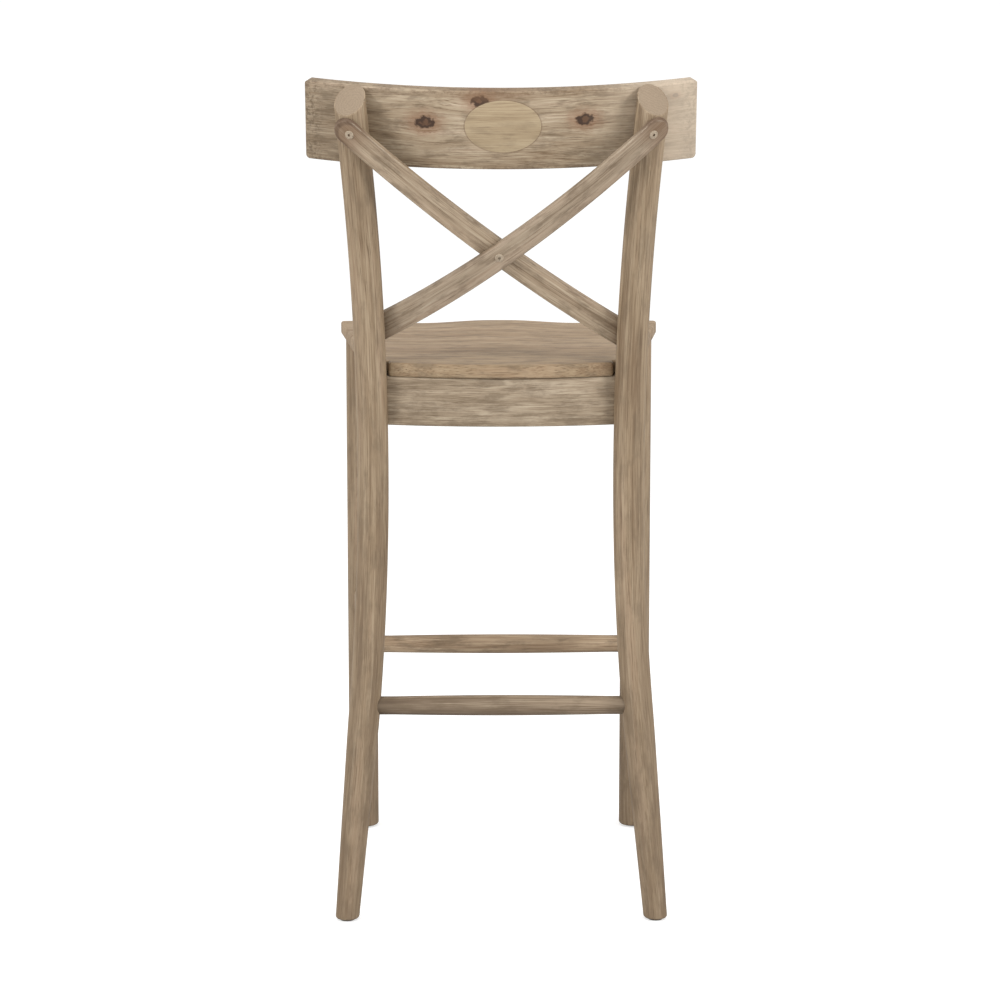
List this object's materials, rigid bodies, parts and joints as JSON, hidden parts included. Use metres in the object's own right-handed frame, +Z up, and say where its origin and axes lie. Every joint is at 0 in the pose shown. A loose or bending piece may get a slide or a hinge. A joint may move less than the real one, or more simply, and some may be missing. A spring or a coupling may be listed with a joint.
{
  "type": "bar stool with footrest",
  "caption": "Tall wooden bar stool with a bowed crest rail, crossed back slats, a scooped seat and turned stretchers with a footrest.",
  "frame": {"origin": "on the floor, under the middle of the stool's overall box", "axes": "+Z up, -Y the way the sitter faces, +X the sitter's left"},
  "size_m": [0.52, 0.5237, 1.135],
  "materials": {
    "leg_wood": "washed driftwood stain, matt lacquer",
    "seat_wood": "washed driftwood stain, matt lacquer",
    "frame_wood": "washed driftwood stain, matt lacquer",
    "rail_wood": "washed driftwood stain over a knotty board, matt lacquer",
    "slat_wood": "washed driftwood stain, darker at the slat ends",
    "raw_wood": "unfinished, hidden under the seat",
    "screw_steel": "screw heads painted to match the wood",
    "bolt_steel": "zinc plated",
    "glide_plastic": "nylon"
  },
  "bodies": {
    "root": {"rear_leg_left": "leg_wood", "rear_leg_right": "leg_wood", "front_leg_left": "leg_wood", "front_leg_right": "leg_wood", "seat_board_1": "seat_wood", "seat_board_2": "seat_wood", "seat_board_3": "seat_wood", "seat_board_4": "seat_wood", "seat_board_5": "seat_wood", "rear_apron": "frame_wood", "front_apron": "frame_wood", "side_apron_left": "frame_wood", "side_apron_right": "frame_wood", "corner_block_front_left": "raw_wood", "corner_block_front_right": "raw_wood", "corner_block_rear_left": "raw_wood", "corner_block_rear_right": "raw_wood", "corner_bolts": "bolt_steel", "seat_screws": "bolt_steel", "footrest": "frame_wood", "rear_stretcher": "frame_wood", "side_stretcher_left": "frame_wood", "side_stretcher_right": "frame_wood", "crest_rail": "rail_wood", "rail_oval_patch": "rail_wood", "rail_dowels": "raw_wood", "cross_slat_outer": "slat_wood", "cross_slat_inner": "slat_wood", "cross_screw": "screw_steel", "slat_top_screws": "screw_steel", "slat_foot_screws": "screw_steel", "foot_glides": "glide_plastic"}
  },
  "joints": []
}
